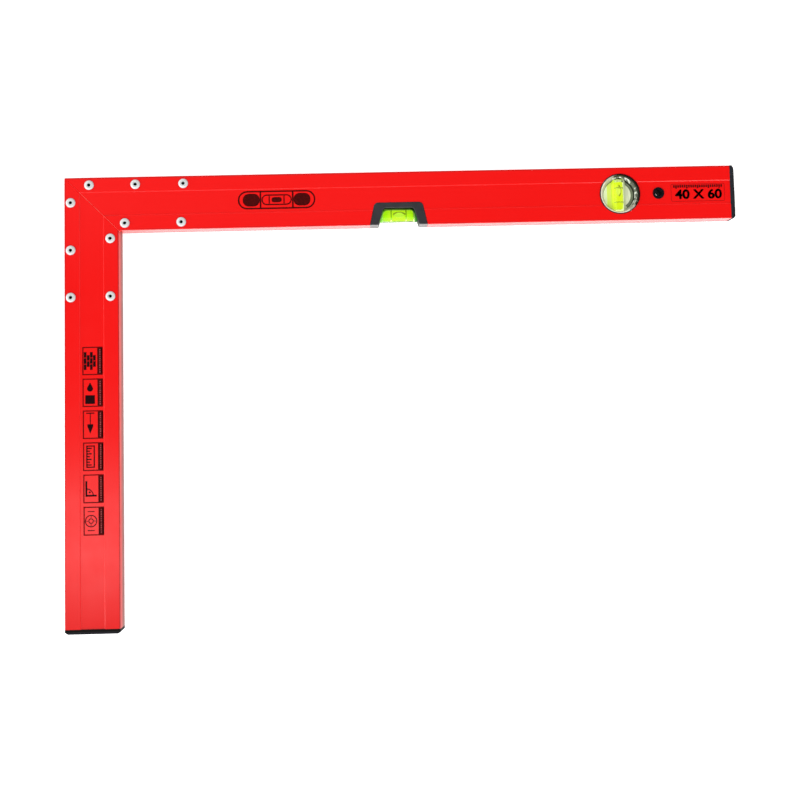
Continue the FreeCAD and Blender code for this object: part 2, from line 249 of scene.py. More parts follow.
class Finish:
    """A material and the nodes that shape it, all on Object coordinates."""

    def __init__(self, name, colour, roughness, metallic=0.0):
        self.material = bpy.data.materials.new(name)
        self.material.use_nodes = True
        self.nodes = self.material.node_tree.nodes
        self.links = self.material.node_tree.links
        self.shader = self.nodes["Principled BSDF"]
        self.shader.inputs["Base Color"].default_value = (*colour, 1)
        self.shader.inputs["Roughness"].default_value = roughness
        self.shader.inputs["Metallic"].default_value = metallic
        self.place = self.nodes.new("ShaderNodeTexCoord").outputs["Object"]

    def set(self, **values):
        """Constant values on the shader's own sockets."""
        for name, value in values.items():
            self.shader.inputs[name.replace("_", " ")].default_value = value

    def feed(self, socket, output):
        """Lets an output drive one of the shader's sockets."""
        self.links.new(output, self.shader.inputs[socket])

    def plug(self, socket, value):
        """A link, a number or a colour into a socket."""
        if isinstance(value, (int, float)):
            socket.default_value = value
        elif isinstance(value, tuple):
            socket.default_value = (*value, 1)
        else:
            self.links.new(value, socket)

    def noise(self, size, detail=3.0, stretch=(1, 1, 1)):
        """Noise whose features are about this size in metres, drawn out along an axis by stretch."""
        mapping = self.nodes.new("ShaderNodeMapping")
        mapping.inputs["Scale"].default_value = stretch
        self.links.new(self.place, mapping.inputs["Vector"])
        node = self.nodes.new("ShaderNodeTexNoise")
        node.inputs["Scale"].default_value = 1 / size
        node.inputs["Detail"].default_value = detail
        self.links.new(mapping.outputs["Vector"], node.inputs["Vector"])
        return node.outputs["Fac"]

    def ramp(self, factor, *stops):
        """Colours or values along a factor, as pairs of place and colour."""
        node = self.nodes.new("ShaderNodeValToRGB")
        elements = node.color_ramp.elements
        while len(elements) < len(stops):
            elements.new(1)
        for element, (place, colour) in zip(elements, stops):
            element.position = place
            if isinstance(colour, (int, float)):
                colour = (colour, colour, colour)
            element.color = (*colour, 1)
        self.links.new(factor, node.inputs["Fac"])
        return node.outputs["Color"]

    def math(self, operation, first, second=0.0):
        """One sum on outputs or plain numbers."""
        node = self.nodes.new("ShaderNodeMath")
        node.operation = operation
        self.plug(node.inputs[0], first)
        self.plug(node.inputs[1], second)
        return node.outputs["Value"]

    def all_of(self, *factors):
        """The product of several factors."""
        product = factors[0]
        for factor in factors[1:]:
            product = self.math("MULTIPLY", product, factor)
        return product

    def axes(self):
        """The three Object coordinates."""
        node = self.nodes.new("ShaderNodeSeparateXYZ")
        self.links.new(self.place, node.inputs["Vector"])
        return node.outputs["X"], node.outputs["Y"], node.outputs["Z"]

    def over(self, value, limit):
        """One where a value is over a limit, and zero elsewhere."""
        return self.math("GREATER_THAN", value, limit)

    def under(self, value, limit):
        """One where a value is under a limit, and zero elsewhere."""
        return self.math("LESS_THAN", value, limit)

    def within(self, value, low, high):
        """One where a value lies between two limits, and zero elsewhere."""
        return self.all_of(self.over(value, low), self.under(value, high))

    def rise(self, value, low, high):
        """Zero up to low, one from high on, and a straight rise between."""
        node = self.nodes.new("ShaderNodeMapRange")
        self.links.new(value, node.inputs["Value"])
        node.inputs["From Min"].default_value = low
        node.inputs["From Max"].default_value = high
        return node.outputs["Result"]

    def mix(self, factor, first, second):
        """A blend of two colours."""
        node = self.nodes.new("ShaderNodeMix")
        node.data_type = "RGBA"
        self.plug(node.inputs[0], factor)
        self.plug(node.inputs[6], first)
        self.plug(node.inputs[7], second)
        return node.outputs[2]

    def vector(self, operation, first, second=None):
        """One step on vectors."""
        node = self.nodes.new("ShaderNodeVectorMath")
        node.operation = operation
        self.links.new(first, node.inputs[0])
        if second is not None:
            node.inputs[1].default_value = second
        return node

    def away(self, centre, weights):
        """The way from a centre to a point, each axis weighed."""
        apart = self.vector("SUBTRACT", self.place, centre).outputs["Vector"]
        return self.vector("MULTIPLY", apart, weights).outputs["Vector"]

    def distance(self, centre, weights):
        """How far a point lies from a centre, each axis weighed."""
        return self.vector("LENGTH", self.away(centre, weights)).outputs["Value"]

    def along(self, centre, way):
        """How far a point lies from a centre, measured one way."""
        return self.vector("DOT_PRODUCT", self.away(centre, (1, 1, 1)), way).outputs["Value"]

    def facing(self, centre, way):
        """One where a point lies one way from a centre, seen from above, and minus one opposite."""
        flat = self.vector("NORMALIZE", self.away(centre, (1, 1, 0))).outputs["Vector"]
        return self.vector("DOT_PRODUCT", flat, way).outputs["Value"]

    def bump(self, height, depth):
        """Relief of this depth in metres from a height."""
        node = self.nodes.new("ShaderNodeBump")
        node.inputs["Distance"].default_value = depth
        self.links.new(height, node.inputs["Height"])
        return node.outputs["Normal"]


# Finishes

def red_with_painted_falloff(finish, x, y):
    """The paint's red, patchy in tone, with painted shade that darkens it towards the long arm's far end, and
    darker towards the short arm's end.
    """
    patchy = finish.math("MULTIPLY", finish.math("SUBTRACT", finish.noise(0.12, 2.0), 0.5), 0.4)
    # Painted shade: the long arm's red darkens away from the light
    long_way = finish.math("ADD", finish.rise(x, 0.03, 0.6), patchy)
    long_red = finish.mix(long_way, (0.71, 0.0075, 0.007), (0.68, 0.0025, 0.002))
    down = finish.math("ADD", finish.rise(y, -0.33, -0.4), patchy)
    short_red = finish.mix(down, (0.7, 0.0035, 0.003), (0.6, 0.003, 0.0025))
    return finish.mix(finish.rise(y, -0.03, -0.1), long_red, short_red)


def red_paint():
    """Gloss red powder coat outside, with painted light and shade along the arms, on its edges, slopes and
    inner side, and the bare aluminium inside the arms.
    """
    finish = Finish("red_paint", (0.7, 0.0045, 0.004), 0.22)
    x, y, z = finish.axes()
    height = finish.math("ABSOLUTE", z)
    red = red_with_painted_falloff(finish, x, y)

    # The mitre shows as a fine pale line that breaks off at the outer edge of the panel
    off_mitre = finish.math("ABSOLUTE", finish.math("ADD", x, y))
    worn = finish.math("MULTIPLY", finish.math("SUBTRACT", finish.noise(0.0035, 2.0), 0.2), 0.8 * mm)
    on_mitre = finish.under(finish.math("SUBTRACT", off_mitre, worn), 0)
    seam = finish.all_of(on_mitre, finish.over(x, panel_edge))
    red = finish.mix(finish.math("MULTIPLY", seam, 0.3), red, (0.9, 0.25, 0.2))

    # Painted contact shade: the short arm's inner side greys towards the floor
    inner_side = finish.all_of(finish.over(x, arm_width - 0.3 * mm), finish.under(x, arm_width + mm))
    inner_side = finish.all_of(inner_side, finish.under(y, -arm_width))
    floor_contact_shade = finish.rise(z, front_level, -0.6 * front_level)
    red = finish.mix(finish.all_of(inner_side, floor_contact_shade), red, (0.16, 0.05, 0.035))

    # Painted shade: the rounded edges of the front are darkened in colour
    left_edge = finish.rise(x, 1.9 * mm, 0.3 * mm)
    top_edge = finish.rise(y, -1.9 * mm, -0.3 * mm)
    outer_edge = finish.math("MAXIMUM", left_edge, top_edge)
    inner_long = finish.all_of(finish.within(y, -arm_width, mm - arm_width), finish.over(x, arm_width))
    inner_short = finish.all_of(finish.within(x, arm_width - mm, arm_width), finish.under(y, -arm_width))
    edges = finish.math("MAXIMUM", outer_edge, finish.math("MAXIMUM", inner_long, inner_short))
    edges = finish.all_of(edges, finish.over(height, front_level - 0.7 * mm))
    red = finish.mix(finish.math("MULTIPLY", edges, 0.75), red, (0.3, 0.012, 0.012))

    # Inside the arms the aluminium is bare
    margin = 0.03 * mm
    in_long = finish.within(y, margin - arm_width, -margin)
    in_short = finish.all_of(finish.within(x, margin, arm_width - margin), finish.under(y, -arm_width))
    inside = finish.math("MAXIMUM", in_long, in_short)
    inside = finish.all_of(inside, finish.over(x, margin), finish.under(height, front_level - wall + margin))

    # The slopes of the panel are duller than the faces, but for the ends that catch the light. Painted light:
    # the long arm's low slope and the short arm's left slope get a brighter red that evens out their shade
    slope = finish.within(height, panel_level + margin, front_level - margin)
    low_slope_painted_light = finish.all_of(slope, finish.under(y, panel_edge - arm_width + mm), finish.over(x, arm_width))
    red = finish.mix(low_slope_painted_light, red, (0.92, 0.004, 0.004))
    left_slope_painted_light = finish.all_of(slope, finish.under(x, panel_edge + mm), finish.under(y, -arm_width))
    red = finish.mix(left_slope_painted_light, red, (0.8, 0.004, 0.004))
    finish.feed("Base Color", finish.mix(inside, red, (0.72, 0.72, 0.73)))
    finish.feed("Metallic", inside)
    long_lit = finish.all_of(finish.rise(x, 0.42, 0.56), finish.over(y, -0.5 * arm_width))
    short_lit = finish.all_of(finish.rise(y, -0.3, -0.38), finish.over(x, 0.5 * arm_width))
    unlit = finish.math("SUBTRACT", 1.0, finish.math("MAXIMUM", long_lit, short_lit))
    dull_slope = finish.math("MULTIPLY", finish.all_of(slope, unlit), 0.75)
    dull = finish.math("MAXIMUM", dull_slope, finish.math("MULTIPLY", inner_side, 0.3))
    rough = finish.ramp(finish.noise(0.02), (0.3, 0.19), (0.7, 0.23))
    finish.feed("Roughness", finish.math("ADD", rough, dull))
    finish.feed("Normal", finish.bump(finish.noise(0.006, 1.0), 0.003 * mm))
    return finish.material


def bare_aluminium():
    """Sawn plate with fine scratches."""
    finish = Finish("bare_aluminium", (0.75, 0.75, 0.76), 0.35, 1.0)
    lines = finish.noise(0.0004, 2.0, (0.05, 1, 1))
    finish.feed("Roughness", finish.ramp(lines, (0.3, 0.28), (0.7, 0.48)))
    finish.feed("Normal", finish.bump(lines, 0.01 * mm))
    return finish.material


def rivet_aluminium():
    """Tumbled aluminium of the rivets, with painted reflections and shade: pale dome, greyer rim and setting
    mark, black bore.
    """
    finish = Finish("rivet_aluminium", (0.55, 0.55, 0.53), 0.4, 0.2)
    places = [(along * mm, -across * mm, 0) for along, across in long_rivets]
    places += [(across * mm, -along * mm, 0) for along, across in short_rivets]
    radius = finish.distance(places[0], (1, 1, 0))
    for place in places[1:]:
        radius = finish.math("MINIMUM", radius, finish.distance(place, (1, 1, 0)))
    cloud = finish.math("MULTIPLY", finish.math("SUBTRACT", finish.noise(0.0016, 3.0), 0.5), 0.3 * mm)
    # Painted reflections and shade, laid out by the distance from each rivet's middle
    painted_reflection_rings = finish.ramp(
        finish.rise(finish.math("ADD", radius, cloud), 0, rivet_radius),
        (0.3, 0.003), (0.34, 0.25), (0.39, (0.62, 0.67, 0.66)), (0.49, (0.62, 0.66, 0.67)),
        (0.57, (0.5, 0.54, 0.56)), (0.68, (0.66, 0.65, 0.62)), (0.9, (0.52, 0.5, 0.49)),
        (1.0, (0.28, 0.25, 0.32)),
    )
    finish.feed("Base Color", painted_reflection_rings)
    finish.feed("Roughness", finish.ramp(finish.noise(0.0016), (0.3, 0.36), (0.7, 0.46)))
    return finish.material


def mandrel_steel():
    """Dark broken steel of the mandrels, painted near black for the shade down in the rivets' bores."""
    finish = Finish("mandrel_steel", (0.004, 0.004, 0.005), 0.8)
    grain = finish.noise(0.0003, 3.0)
    finish.set(Specular_IOR_Level=0.05)
    finish.feed("Roughness", finish.ramp(grain, (0.3, 0.75), (0.7, 0.9)))
    finish.feed("Normal", finish.bump(grain, 0.05 * mm))
    return finish.material


def grained(finish, roughness, depth):
    """The fine spark-eroded grain of a moulded piece."""
    grain = finish.noise(0.0008, 3.0)
    finish.feed("Roughness", finish.ramp(grain, (0.3, roughness - 0.06), (0.7, roughness + 0.08)))
    finish.feed("Normal", finish.bump(grain, depth))


def cap_plastic():
    """Black plastic of the end caps, darker on the short arm, with painted shade on the chamfer that slopes
    away.
    """
    finish = Finish("cap_plastic", (0.015, 0.015, 0.019), 0.6)
    finish.set(IOR=1.12)
    x, y, z = finish.axes()
    # Painted shade on the chamfer that slopes away
    bevel = finish.math("MAXIMUM", finish.over(x, long_end - 2.2 * mm), finish.under(y, short_end + 2.2 * mm))
    face = finish.ramp(finish.noise(0.006), (0.35, (0.013, 0.014, 0.018)), (0.65, (0.018, 0.019, 0.024)))
    face = finish.mix(finish.under(y, -arm_width), face, (0.006, 0.006, 0.005))
    finish.feed("Base Color", finish.mix(bevel, face, (0.003, 0.003, 0.005)))
    grained(finish, 0.55, 0.015 * mm)
    return finish.material


def bush_plastic():
    """Black plastic of the hanging hole's bush."""
    finish = Finish("bush_plastic", (0.004, 0.003, 0.005), 0.7)
    finish.set(Specular_IOR_Level=0.06)
    tone = finish.ramp(finish.noise(0.003), (0.4, (0.003, 0.002, 0.003)), (0.7, (0.007, 0.005, 0.008)))
    finish.feed("Base Color", tone)
    grained(finish, 0.7, 0.01 * mm)
    return finish.material


def holder_plastic():
    """Dark grey plastic of the level vial's holder, with painted shade inside the notch and painted light at
    its feet.
    """
    finish = Finish("holder_plastic", (0.025, 0.025, 0.028), 0.5)
    finish.set(Specular_IOR_Level=0.2)
    x, y, z = finish.axes()
    face = finish.ramp(finish.noise(0.008), (0.35, (0.021, 0.021, 0.024)), (0.65, (0.028, 0.027, 0.031)))
    # Painted shade inside the notch and painted light on the feet
    inside = finish.under(finish.math("ABSOLUTE", z), front_level - 0.52 * mm)
    lit_foot = finish.under(y, 0.3 * mm - arm_width)
    tone = finish.mix(inside, face, (0.003, 0.004, 0.004))
    finish.feed("Base Color", finish.mix(lit_foot, tone, (0.16, 0.16, 0.16)))
    grained(finish, 0.5, 0.015 * mm)
    return finish.material


def level_acrylic():
    """Polished acrylic, lime where it stands over the liquid, with dark green painted shade at its upper
    corners that deepens towards the right.
    """
    lime_tint = (0.78, 1.0, 0.4)
    finish = Finish("level_acrylic", lime_tint, 0.02)
    finish.set(IOR=1.49, Specular_IOR_Level=0.2, Specular_Tint=(0.5, 1.0, 0.2, 1))
    x, y, z = finish.axes()
    # Painted shade: the upper corners turn dark green and less clear, darker towards the right
    off_middle = finish.math("SUBTRACT", x, level_centre.x)
    aside = finish.math("MAXIMUM", finish.math("SUBTRACT", finish.math("ABSOLUTE", off_middle), 10.0 * mm), 0)
    above = finish.math("MAXIMUM", finish.math("SUBTRACT", y, -40.0 * mm), 0)
    aside = finish.math("DIVIDE", aside, 4.4 * mm)
    above = finish.math("DIVIDE", above, 5.9 * mm)
    reach = finish.math("ADD", finish.math("POWER", aside, 2), finish.math("POWER", above, 2))
    corner = finish.rise(reach, 0.85, 1.2)
    shade = finish.mix(finish.rise(off_middle, -6.0 * mm, 11.0 * mm), (0.2, 0.55, 0.05), (0.012, 0.15, 0.008))
    finish.feed("Base Color", finish.mix(corner, lime_tint, shade))
    finish.feed("Transmission Weight", finish.math("SUBTRACT", 1.0, finish.math("MULTIPLY", corner, 0.9)))
    finish.feed("Roughness", finish.ramp(finish.noise(0.003), (0.3, 0.0), (0.7, 0.04)))
    return finish.material


def plumb_acrylic():
    """Clear tube with a painted lime glow on its left, and a milky web with upright streaks, painted lighter
    on its left and darker on its right, with painted shade towards the right and a painted glow.
    """
    clear_tint = (0.95, 1.0, 0.7)
    clear_left, clear_right = -4.3 * mm, 3.9 * mm
    finish = Finish("plumb_acrylic", clear_tint, 0.03)
    finish.set(IOR=1.49, Specular_IOR_Level=0.2, Specular_Tint=(0.8, 1.0, 0.4, 1), Emission_Strength=0.3)
    x, y, z = finish.axes()
    off_axis = finish.math("SUBTRACT", x, plumb_centre.x)
    clear = finish.within(off_axis, clear_left, clear_right)
    streaks = finish.noise(0.0022, 2.0, (1, 0.12, 1))
    # Painted light on the web's left and painted shade on its right
    left = finish.ramp(streaks, (0.35, (0.78, 0.88, 0.55)), (0.65, (0.9, 1.0, 0.72)))
    right = finish.ramp(streaks, (0.35, (0.55, 0.6, 0.4)), (0.65, (0.78, 0.82, 0.6)))
    milky = finish.mix(finish.over(off_axis, 0), left, right)
    # Painted shade on the web beyond the tube, towards the right
    shade = finish.all_of(
        finish.over(finish.distance(plumb_centre, (1, 1, 0)), 11.2 * mm),
        finish.over(finish.facing(plumb_centre, (0.96, 0.28, 0)), 0.3),
    )
    milky = finish.mix(shade, milky, (0.16, 0.19, 0.12))
    # Painted glow of the liquid on the tube's left wall and the web beside it, and painted shade on its right
    # wall
    milky = finish.mix(finish.within(off_axis, -10.2 * mm, -vial_radius), milky, (0.68, 0.82, 0.15))
    milky = finish.mix(finish.within(off_axis, -vial_radius, clear_left), milky, (0.7, 0.9, 0.05))
    milky = finish.mix(finish.within(off_axis, clear_right, vial_radius), milky, (0.5, 0.56, 0.34))
    finish.feed("Base Color", finish.mix(clear, milky, clear_tint))
    # Painted glow of the web
    finish.feed("Emission Color", finish.mix(clear, milky, (0, 0, 0)))
    finish.feed("Transmission Weight", finish.math("ADD", finish.math("MULTIPLY", clear, 0.9), 0.1))
    finish.feed("Roughness", finish.ramp(finish.noise(0.003), (0.3, 0.01), (0.7, 0.06)))
    return finish.material


def housing_plastic():
    """Clear plastic of the plumb vial's housing, painted with the dark and bright reflections that its walls
    mirror, painted glints, and black painted shade at its outer edge.
    """
    finish = Finish("housing_plastic", (0.5, 0.5, 0.45), 0.15)
    finish.set(IOR=1.5, Transmission_Weight=0.1, Specular_IOR_Level=0.12)
    radius = finish.distance(plumb_centre, (1, 1, 0))
    spread = finish.rise(radius, 13.2 * mm, 18.2 * mm)
    # Painted reflections on the side towards the light, ending in black painted shade at the outer edge
    light = finish.ramp(
        spread,
        (0.03, (0.09, 0.11, 0.06)), (0.1, (0.16, 0.18, 0.12)), (0.2, (0.5, 0.5, 0.4)),
        (0.5, (0.5, 0.45, 0.36)), (0.66, (0.8, 0.76, 0.66)), (0.78, (0.75, 0.66, 0.58)),
        (0.86, (0.02, 0.006, 0.005)),
    )
    # Painted reflections and shade on the side away from the light
    dark = finish.ramp(
        spread,
        (0.03, (0.01, 0.014, 0.008)), (0.2, (0.03, 0.035, 0.025)), (0.29, (0.16, 0.18, 0.14)),
        (0.42, (0.1, 0.11, 0.085)), (0.55, (0.04, 0.045, 0.035)), (0.68, (0.006, 0.005, 0.004)),
        (0.9, (0.008, 0.002, 0.002)),
    )
    # Painted glints in patches
    patches = finish.rise(finish.noise(0.0028, 2.0), 0.54, 0.62)
    painted_glint = finish.all_of(patches, finish.within(spread, 0.2, 0.52))
    dark = finish.mix(painted_glint, dark, (0.75, 0.78, 0.7))
    side = finish.facing(plumb_centre, (0.78, 0.62, 0))
    broken = finish.math("MULTIPLY", finish.math("SUBTRACT", finish.noise(0.004, 2.0), 0.5), 1.2)
    painted_shade_side = finish.rise(finish.math("ADD", side, broken), -0.3, 0.45)
    finish.feed("Base Color", finish.mix(painted_shade_side, light, dark))
    finish.feed("Roughness", finish.ramp(finish.noise(0.004), (0.3, 0.1), (0.7, 0.2)))
    return finish.material


def lime_liquid(name, centre, along, middle, ends, glow, bubble, bore):
    """Fluorescent lime liquid with a painted glow, and a paler painted patch with a dark painted outline
    where its bubble sits.
    """
    finish = Finish(name, middle, 0.1)
    finish.set(IOR=1.33, Emission_Strength=glow, Specular_IOR_Level=0.1)
    off_middle = finish.math("ABSOLUTE", finish.along(centre, tuple(along)))
    cloud = finish.math("MULTIPLY", finish.math("SUBTRACT", finish.noise(0.005, 2.0), 0.5), 6.0 * mm)
    tone = finish.mix(finish.rise(finish.math("ADD", off_middle, cloud), 7.0 * mm, 13.0 * mm), middle, ends)
    length, offset = bubble
    across = Vector((along.y, along.x, 0))
    reach = along * (2 / length) + across * (1 / (0.62 * bore))
    place = centre + along * offset
    far = finish.distance(place, tuple(reach))
    aside = finish.along(place, tuple(across))
    upper = finish.rise(aside, -0.3 * mm, 0.8 * mm)
    # Painted light and shade of the bubble: paler inside it and a dark outline along its upper side
    tone = finish.mix(finish.math("MULTIPLY", finish.under(far, 0.9), 0.45), tone, (0.85, 1.0, 0.3))
    outline = finish.all_of(finish.within(far, 0.84, 1.1), upper)
    tone = finish.mix(finish.math("MULTIPLY", outline, 0.8), tone, (0.17, 0.2, 0.01))
    # Painted glow: the liquid shines in its own colour
    finish.feed("Base Color", finish.mix(0.7, tone, (0, 0, 0)))
    finish.feed("Emission Color", tone)
    return finish.material


def line_print(name, dark, light):
    """Printed ring round the bore."""
    finish = Finish(name, dark, 0.5)
    finish.feed("Base Color", finish.ramp(finish.noise(0.001), (0.3, dark), (0.7, light)))
    return finish.material


def plug_plastic():
    """Pale green plastic of the vials' plugs."""
    finish = Finish("plug_plastic", (0.5, 0.62, 0.3), 0.4)
    tone = finish.ramp(finish.noise(0.004), (0.35, (0.48, 0.6, 0.28)), (0.65, (0.56, 0.68, 0.34)))
    finish.feed("Base Color", tone)
    grained(finish, 0.4, 0.01 * mm)
    return finish.material


def pale_plug():
    """Milky plastic of the plumb vial's plug, with a painted glow and a dark ring where it meets the tube."""
    milky = (0.75, 0.85, 0.55)
    finish = Finish("pale_plug", milky, 0.4)
    ring = finish.within(finish.distance(plumb_centre, (1, 1, 0)), 14.2 * mm, 15.0 * mm)
    tone = finish.mix(ring, milky, (0.02, 0.03, 0.015))
    # Painted glow: the plug shines in its own colour
    finish.set(Emission_Strength=0.3)
    finish.feed("Base Color", tone)
    finish.feed("Emission Color", tone)
    grained(finish, 0.4, 0.01 * mm)
    return finish.material


def print_ink(name, dark, light):
    """Matt screen-printed ink, a little thin in places."""
    finish = Finish(name, dark, 0.5)
    finish.set(Specular_IOR_Level=0.05)
    finish.feed("Base Color", finish.ramp(finish.noise(0.0015, 4.0), (0.4, dark), (0.75, light)))
    finish.feed("Roughness", finish.ramp(finish.noise(0.0008), (0.3, 0.5), (0.7, 0.65)))
    return finish.material


def pale_floor():
    """Plain pale floor."""
    finish = Finish("pale_floor", (0.92, 0.92, 0.92), 0.6)
    finish.set(Emission_Color=(1, 1, 1, 1), Emission_Strength=0.6)
    finish.feed("Base Color", finish.ramp(finish.noise(0.3, 2.0), (0.3, 0.91), (0.7, 0.93)))
    return finish.material


rivet_metal = rivet_aluminium()
level_way = Vector((1, 0, 0))
plumb_way = Vector((0, 1, 0))
level_lime = lime_liquid(
    "level_lime", level_centre, level_way,
    (0.66, 0.98, 0.03), (0.48, 0.97, 0.008), 0.75, level_bubble, level_bore,
)
plumb_lime = lime_liquid(
    "plumb_lime", plumb_centre, plumb_way,
    (0.78, 0.95, 0.02), (0.74, 0.96, 0.015), 0.8, plumb_bubble, plumb_bore,
)
black_ink = print_ink("black_ink", (0.006, 0.001, 0.002), (0.02, 0.001, 0.001))
red_ink = print_ink("dark_red_ink", (0.04, 0.001, 0.001), (0.08, 0.001, 0.001))
maroon_ink = print_ink("maroon_ink", (0.08, 0.001, 0.001), (0.13, 0.0015, 0.0015))
thin_ink = print_ink("thin_red_ink", (0.25, 0.003, 0.003), (0.35, 0.004, 0.004))
pale_ink = print_ink("pale_ink", (0.2, 0.04, 0.04), (0.3, 0.07, 0.065))

finish_of_slot = {
    "painted_aluminium": red_paint(),
    "bare_aluminium": bare_aluminium(),
    "rivet_aluminium": rivet_metal,
    "mandrel_steel": mandrel_steel(),
    "black_plastic": cap_plastic(),
    "grey_plastic": holder_plastic(),
    "clear_acrylic": level_acrylic(),
    "lime_liquid": level_lime,
    "line_ring": line_print("level_lines", (0.07, 0.3, 0.015), (0.11, 0.42, 0.02)),
    "vial_plug": plug_plastic(),
    "housing_plastic": housing_plastic(),
}
finish_of_node = {
    "plumb_vial_body": plumb_acrylic(),
    "plumb_vial_lines": line_print("plumb_lines", (0.3, 0.42, 0.012), (0.42, 0.56, 0.02)),
    "plumb_vial_plug": pale_plug(),
    "hanging_bush": bush_plastic(),
}
for node_name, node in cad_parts.items():
    slot_name = node.data.materials[0].name
    node.data.materials[0] = finish_of_node.get(node_name, finish_of_slot[slot_name])


# Rivets: one is modelled, and each place gets a copy

def rivet():
    """A set blind rivet: domed head with the ring that the setting tool leaves, shank and bulged tail."""
    deselect_all()
    bpy.ops.mesh.primitive_cylinder_add(
        vertices=48, radius=rivet_radius, depth=rivet_rim, location=(0, 0, rivet_rim / 2)
    )
    piece = bpy.context.object
    settle(piece)
    reach = rivet_radius - rivet_crown
    drop = rivet_top - rivet_rim
    dome = (reach ** 2 + drop ** 2) / (2 * drop)
    lean = math.asin(reach / dome)
    steps = 8
    pick_faces(piece, lambda face: face.normal.z > 0.9)
    for step in range(steps):
        before = lean * (1 - step / steps)
        after = lean * (1 - (step + 1) / steps)
        width = dome * (math.sin(before) - math.sin(after))
        bpy.ops.mesh.inset(thickness=width, depth=dome * (math.cos(after) - math.cos(before)))
    bpy.ops.mesh.inset(thickness=mark_width / 4, depth=-mark_depth)
    bpy.ops.mesh.inset(thickness=mark_width / 2, depth=0)
    bpy.ops.mesh.inset(thickness=mark_width / 4, depth=mark_depth)
    bpy.ops.mesh.inset(thickness=rivet_crown - mark_width - rivet_bore - rivet_bore_edge, depth=0)
    bpy.ops.mesh.inset(thickness=rivet_bore_edge, depth=-rivet_bore_edge)
    close_edit()
    pick_faces(piece, lambda face: face.normal.z < -0.9)
    bpy.ops.mesh.inset(thickness=rivet_radius - rivet_shank, depth=0)
    extrude(0, 0, rivet_tail + rivet_bulge_length)
    extrude(0, 0, 0)
    swell = rivet_bulge / rivet_shank
    bpy.ops.transform.resize(value=(swell, swell, 1))
    extrude(0, 0, -rivet_bulge_length / 2)
    extrude(0, 0, -rivet_bulge_length / 2)
    bpy.ops.transform.resize(value=(1 / swell, 1 / swell, 1))
    bpy.ops.mesh.inset(thickness=rivet_shank - rivet_bore, depth=0)
    close_edit()
    pick_faces(piece, lambda face: face.center.xy.length < 0.01 * mm)
    bpy.ops.mesh.bridge_edge_loops()
    bpy.ops.mesh.select_all(action="SELECT")
    bpy.ops.mesh.normals_make_consistent(inside=False)
    close_edit()
    smooth(piece, 30)
    return piece


def set_rivets(pattern, places, name, node, on_short, front):
    """A copy of the rivet at each place of one arm, on its front or rear."""
    copies = []
    for along, across in places:
        x, y = (across, -along) if on_short else (along, -across)
        piece = copy_of(pattern)
        turn = Matrix.Identity(4) if front else Matrix.Rotation(math.pi, 4, "X")
        level = front_level if front else -front_level
        piece.matrix_world = Matrix.Translation((x * mm, y * mm, level)) @ turn
        settle(piece)
        copies.append(piece)
    finish_piece(join(copies), name, rivet_metal, "rivet_aluminium", node)


def set_all_rivets():
    """The four groups of five rivets."""
    pattern = rivet()
    for arm, places, on_short in (("long_arm", long_rivets, False), ("short_arm", short_rivets, True)):
        for side, front in (("front", True), ("rear", False)):
            node = f"{arm}_{side}_rivets"
            set_rivets(pattern, places, f"{arm}_{side}_set_rivets", node, on_short, front)
    bpy.data.objects.remove(pattern)


# Vials: the liquid fills the bore, so its skin lies a hair outside it

def barrel(length, middle, end, rounding, cuts):
    """A round body along Z, a little wider in its middle than at its rounded ends."""
    deselect_all()
    bpy.ops.mesh.primitive_cylinder_add(vertices=64, radius=end, depth=length)
    piece = bpy.context.object
    pick_edges(piece, lambda a, b: abs(a.z - b.z) > length / 2)
    bpy.ops.mesh.subdivide(number_cuts=cuts)
    close_edit()
    near = 0.01 * mm
    for height in sorted({round(point.co.z, 6) for point in piece.data.vertices}):
        share = 1 - (2 * height / length) ** 2
        swell = 1 + (middle - end) * share / end
        pick_edges(piece, lambda a, b: abs(a.z - height) < near and abs(b.z - height) < near)
        bpy.ops.transform.resize(value=(swell, swell, 1))
        close_edit()
    rim = length / 2 - near
    pick_edges(piece, lambda a, b: abs(a.z) > rim and abs(b.z) > rim)
    bpy.ops.mesh.bevel(offset=rounding, segments=8, affect="EDGES")
    close_edit()
    return piece


def vial_liquid(name, node, material, centre, way, turn, bore, length, bubble_size):
    """The liquid of one vial with the space of its bubble, turned to its axis."""
    full = length - 2 * vial_end_wall + liquid_overlap
    middle = bore + liquid_overlap
    piece = barrel(full, middle, middle - bore_barrel, bore_rounding, 11)
    piece.matrix_world = Matrix.Translation(centre) @ turn
    settle(piece)
    bubble_length, bubble_offset = bubble_size
    space = barrel(bubble_length, 0.5 * bore, 0.3 * bore, 0.27 * bore, 5)
    up = Vector((0, 0, bubble_rise * bore))
    space.matrix_world = Matrix.Translation(centre + way * bubble_offset + up) @ turn
    settle(space)
    cut_away(piece, space)
    smooth(piece, 40)
    finish_piece(piece, name, material, "lime_liquid", node)


def fill_vials():
    """The liquids of both vials."""
    along_x = Matrix.Rotation(math.pi / 2, 4, "Y")
    along_y = Matrix.Rotation(math.pi / 2, 4, "X")
    vial_liquid(
        "level_vial_lime", "level_vial_liquid", level_lime,
        level_centre, level_way, along_x, level_bore, level_length, level_bubble,
    )
    vial_liquid(
        "plumb_vial_lime", "plumb_vial_liquid", plumb_lime,
        plumb_centre, plumb_way, along_y, plumb_bore, plumb_length, plumb_bubble,
    )


# Prints: flat shapes are laid out first, then a whole print is joined and given its thickness

def flat_plate(x, y, width, height, corner=0.0):
    """A flat rectangle, with rounded corners if given."""
    deselect_all()
    bpy.ops.mesh.primitive_plane_add(size=1, location=(x, y, 0))
    piece = bpy.context.object
    piece.scale = (width, height, 1)
    settle(piece)
    if corner:
        pick_points(piece, lambda point: True)
        bpy.ops.mesh.bevel(offset=corner, segments=5, affect="VERTICES")
        close_edit()
    return piece


